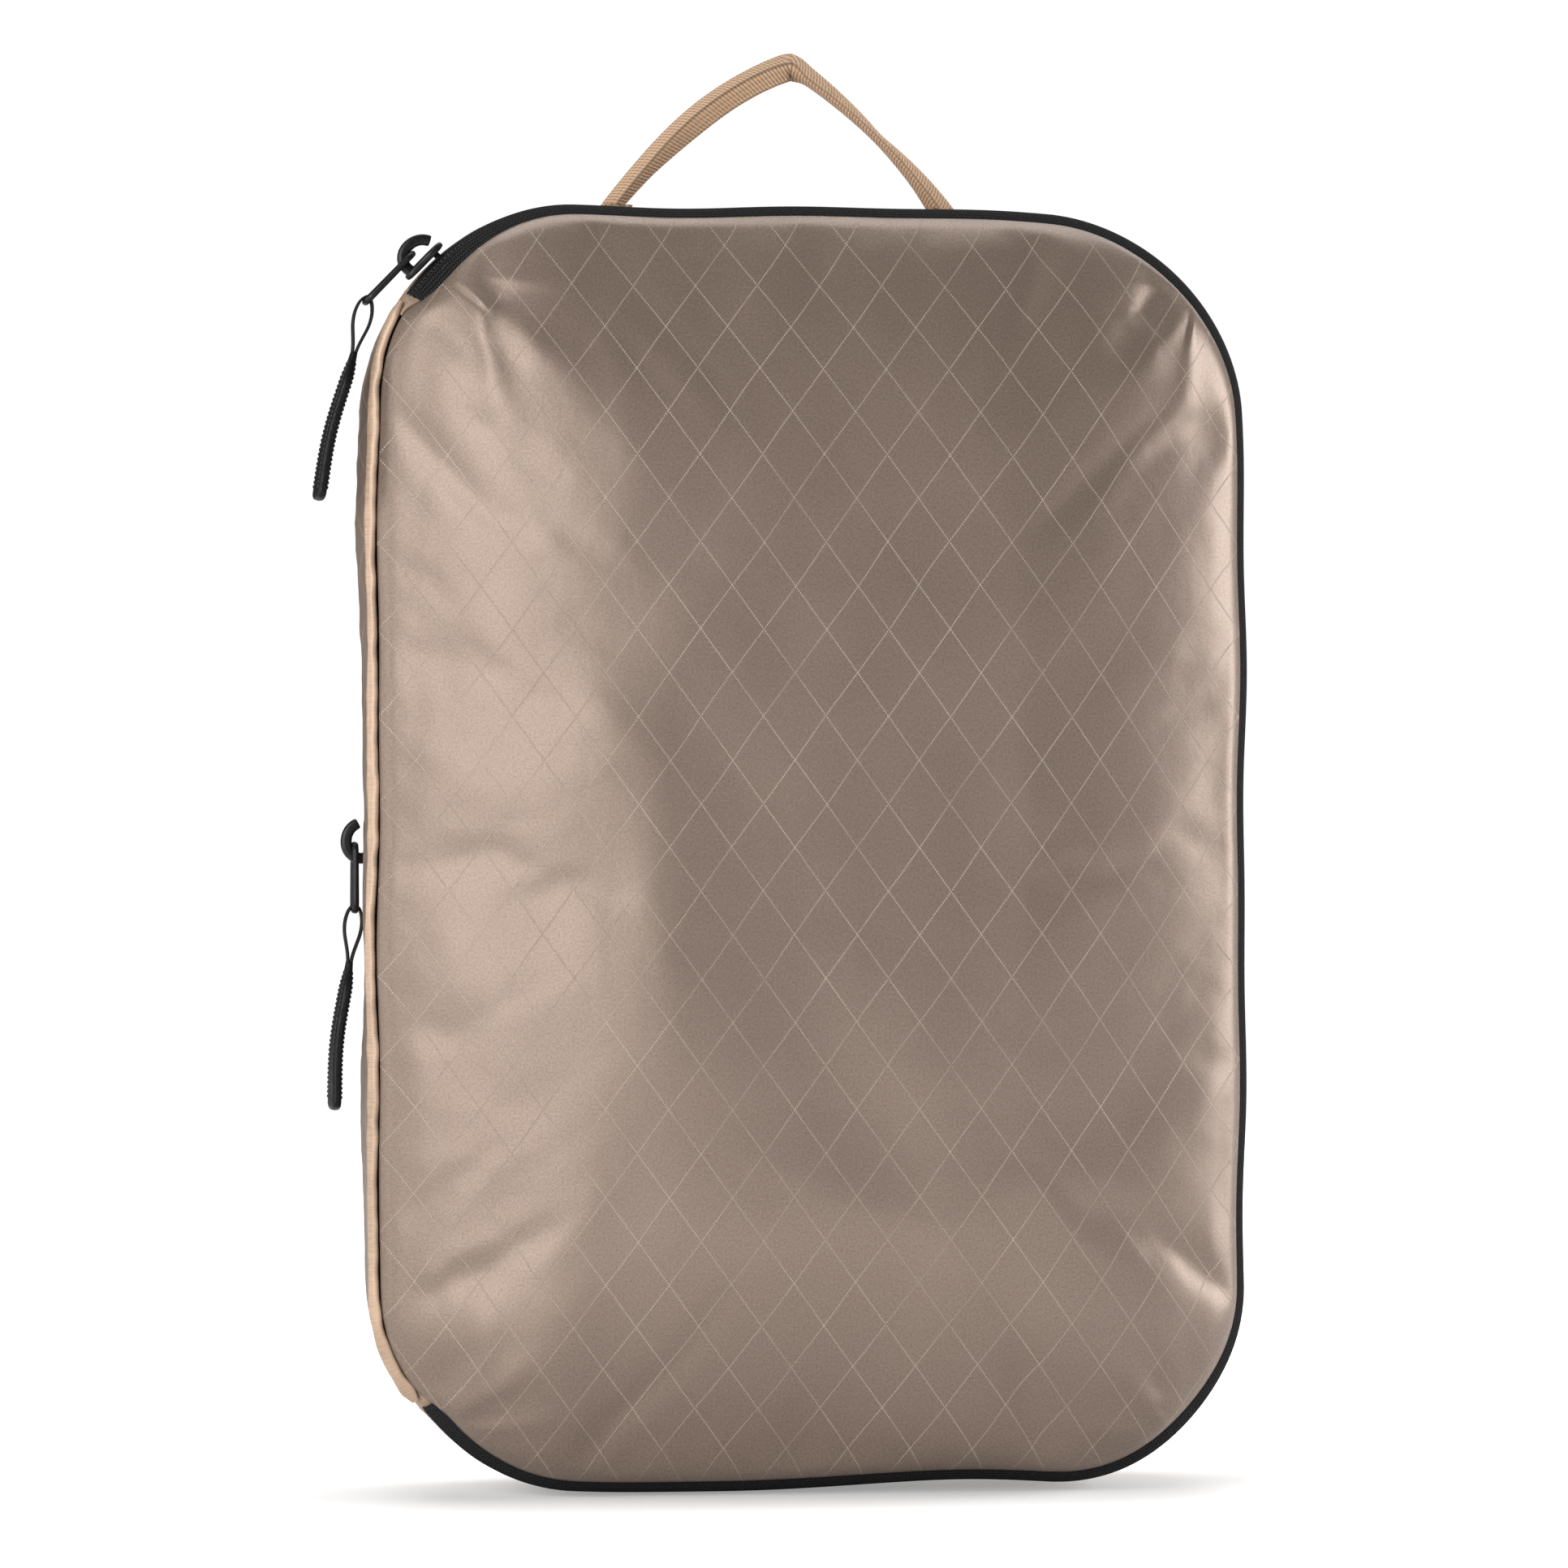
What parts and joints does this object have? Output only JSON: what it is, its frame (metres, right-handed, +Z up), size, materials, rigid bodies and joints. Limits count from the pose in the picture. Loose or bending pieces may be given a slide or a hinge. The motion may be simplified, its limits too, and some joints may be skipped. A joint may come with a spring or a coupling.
{
  "type": "compression packing cube",
  "caption": "Upright zipped fabric packing cube with a hinged domed lid, a compression zip round the back, corded spine, webbing handle and black pull tabs.",
  "frame": {"origin": "middle of the flat base under the gusset, on the surface that the cube stands on", "axes": "+Z up along the height, +X to the right seen from the front, and the front panel faces -Y"},
  "size_m": [0.2636, 0.09, 0.4018],
  "materials": {
    "shell_fabric": "satin taupe ripstop nylon with a dotted diamond grid",
    "spine_fabric": "satin, tan",
    "binding": "matte",
    "black_tape": "matte",
    "black_coil": "satin",
    "tan_tape": "matte",
    "tan_coil": "satin",
    "webbing": "matte",
    "hardware": "satin",
    "pull_tab": "satin",
    "black_thread": "matte",
    "tan_thread": "matte"
  },
  "bodies": {
    "shell": {"gusset": "shell_fabric", "main_zip_body_tape": "black_tape", "main_zip_body_coil": "black_coil", "compression_zip_front_tape": "tan_tape", "compression_zip_front_coil": "tan_coil", "gusset_front_binding": "binding", "gusset_rear_binding": "binding", "spine_piping": "spine_fabric", "upper_end_tab": "spine_fabric", "lower_end_tab": "spine_fabric", "compression_end_tab": "spine_fabric", "handle_ends": "webbing", "handle_bartacks": "tan_thread"},
    "lid": {"front_panel": "shell_fabric", "main_zip_lid_tape": "black_tape", "main_zip_lid_coil": "black_coil", "lid_seam_binding": "binding"},
    "back": {"back_panel": "shell_fabric", "compression_zip_rear_tape": "tan_tape", "compression_zip_rear_coil": "tan_coil", "expansion_gusset": "shell_fabric", "back_seam_binding": "binding"},
    "main_slider": {"main_slider": "hardware"},
    "main_pull": {"main_pull": "hardware"},
    "main_tab": {"main_tab": "pull_tab", "main_tab_stitches": "black_thread"},
    "compression_slider": {"compression_slider": "hardware"},
    "compression_pull": {"compression_pull": "hardware"},
    "compression_tab": {"compression_tab": "pull_tab", "compression_tab_stitches": "black_thread"},
    "handle": {"handle_webbing": "webbing"}
  },
  "joints": [
    {"name": "lid_hinge", "type": "hinge", "parent": "shell", "child": "lid", "pos_m": [-0.1246, -0.019, 0.18], "axis": [0, 0, -1], "range_deg": [0, 165]},
    {"name": "compression_slide", "type": "slide", "parent": "shell", "child": "back", "axis": [0, 1, 0], "range_m": [0, 0.034]},
    {"name": "main_slider_travel", "type": "hinge", "parent": "shell", "child": "main_slider", "pos_m": [-0.067, -0.019, 0.303], "axis": [0, 1, 0], "range_deg": [0, 44]},
    {"name": "main_pull_flip", "type": "hinge", "parent": "main_slider", "child": "main_pull", "pos_m": [-0.11222, -0.019, 0.34528], "axis": [0, 1, 0], "range_deg": [0, 165]},
    {"name": "main_tab_swing", "type": "hinge", "parent": "main_pull", "child": "main_tab", "pos_m": [-0.125, -0.019, 0.33204], "axis": [0, -1, 0], "range_deg": [-90, 3]},
    {"name": "compression_slider_travel", "type": "slide", "parent": "shell", "child": "compression_slider", "axis": [0, 0, 1], "range_m": [-0.095, 0.11]},
    {"name": "compression_pull_flip", "type": "hinge", "parent": "compression_slider", "child": "compression_pull", "pos_m": [-0.1252, 0.019, 0.181], "axis": [0, 1, 0], "range_deg": [0, 165]},
    {"name": "compression_tab_swing", "type": "hinge", "parent": "compression_pull", "child": "compression_tab", "pos_m": [-0.1252, 0.019, 0.1626], "axis": [0, -1, 0], "range_deg": [-90, 1]},
    {"name": "handle_swing", "type": "hinge", "parent": "shell", "child": "handle", "pos_m": [0, 0.008, 0.366], "axis": [-1, 0, 0], "range_deg": [-80, 80]}
  ],
  "couplings": [
    {"joint": "main_pull_flip", "follows": "lid_hinge", "ratio": 1}
  ]
}
